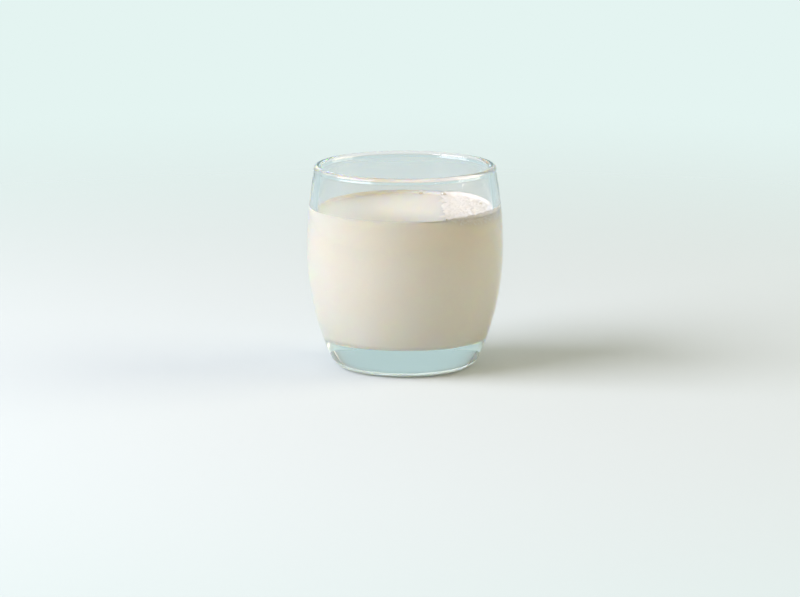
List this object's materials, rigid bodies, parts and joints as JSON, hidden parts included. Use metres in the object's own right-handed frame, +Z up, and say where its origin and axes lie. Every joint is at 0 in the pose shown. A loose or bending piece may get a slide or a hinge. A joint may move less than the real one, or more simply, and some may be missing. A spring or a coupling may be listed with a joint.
{
  "type": "glass of milk",
  "caption": "Barrel-shaped pressed glass tumbler with a thick clear base and a rounded rim, filled with milk to a little under the rim.",
  "frame": {"origin": "on the tumbler's axis, on the plane its foot rests on", "axes": "+Z up along the tumbler's axis; the shape is round about Z, and -Y faces the viewer"},
  "size_m": [0.084, 0.084, 0.0872],
  "materials": {
    "clear_glass": "clear pressed soda-lime glass, fire-polished",
    "milk": "whole milk, opaque cream white with a wet sheen"
  },
  "bodies": {
    "root": {"tumbler": "clear_glass", "milk": "milk"}
  },
  "joints": []
}
